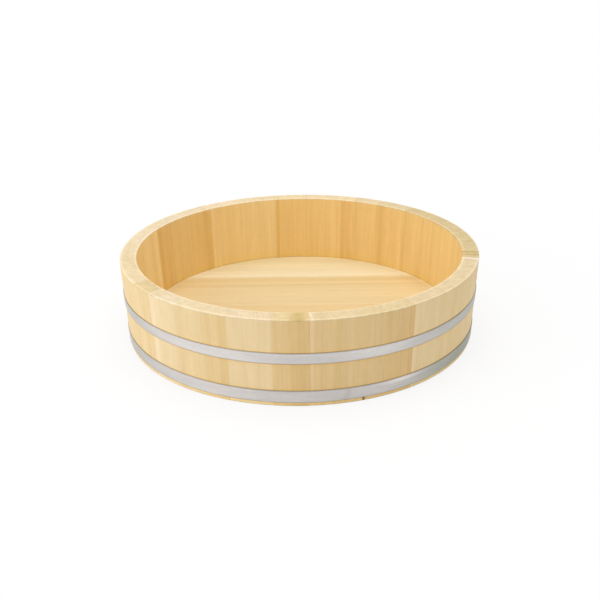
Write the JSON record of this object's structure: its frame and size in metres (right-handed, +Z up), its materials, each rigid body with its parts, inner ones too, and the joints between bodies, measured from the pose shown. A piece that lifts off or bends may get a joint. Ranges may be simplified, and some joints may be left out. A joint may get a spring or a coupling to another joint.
{
  "type": "hangiri sushi rice tub",
  "caption": "Wide, shallow wooden rice tub of coopered staves round a boarded floor, bound by two flat steel hoops, for cooling and dressing sushi rice.",
  "frame": {"origin": "middle of the foot, on the ground", "axes": "+Z up along the tub's axis, -Y towards the viewer, floor boards along X"},
  "size_m": [0.7498, 0.7498, 0.175],
  "materials": {
    "pale_wood": "planed, bare wood",
    "straw_wood": "planed, bare wood",
    "honey_wood": "planed, bare wood",
    "tan_wood": "planed, bare wood",
    "hoop_steel": "dull rolled strip",
    "bamboo": "split and shaved",
    "nail_steel": "dark, tarnished"
  },
  "bodies": {
    "root": {"stave_01": "straw_wood", "stave_02": "straw_wood", "stave_03": "straw_wood", "stave_04": "honey_wood", "stave_05": "straw_wood", "stave_06": "tan_wood", "stave_07": "straw_wood", "stave_08": "honey_wood", "stave_09": "pale_wood", "stave_10": "pale_wood", "stave_11": "honey_wood", "stave_12": "honey_wood", "stave_13": "tan_wood", "stave_14": "pale_wood", "stave_15": "straw_wood", "stave_16": "straw_wood", "stave_17": "straw_wood", "stave_18": "straw_wood", "stave_19": "pale_wood", "stave_20": "straw_wood", "stave_21": "honey_wood", "stave_22": "pale_wood", "stave_23": "tan_wood", "stave_24": "honey_wood", "stave_25": "honey_wood", "stave_26": "tan_wood", "stave_27": "pale_wood", "stave_28": "straw_wood", "stave_29": "straw_wood", "stave_30": "straw_wood", "floor_board_1": "honey_wood", "floor_board_2": "straw_wood", "floor_board_3": "tan_wood", "floor_board_4": "honey_wood", "floor_board_5": "straw_wood", "upper_hoop": "hoop_steel", "lower_hoop": "hoop_steel", "stave_pegs": "bamboo", "board_pegs": "bamboo", "hoop_nails": "nail_steel"}
  },
  "joints": []
}
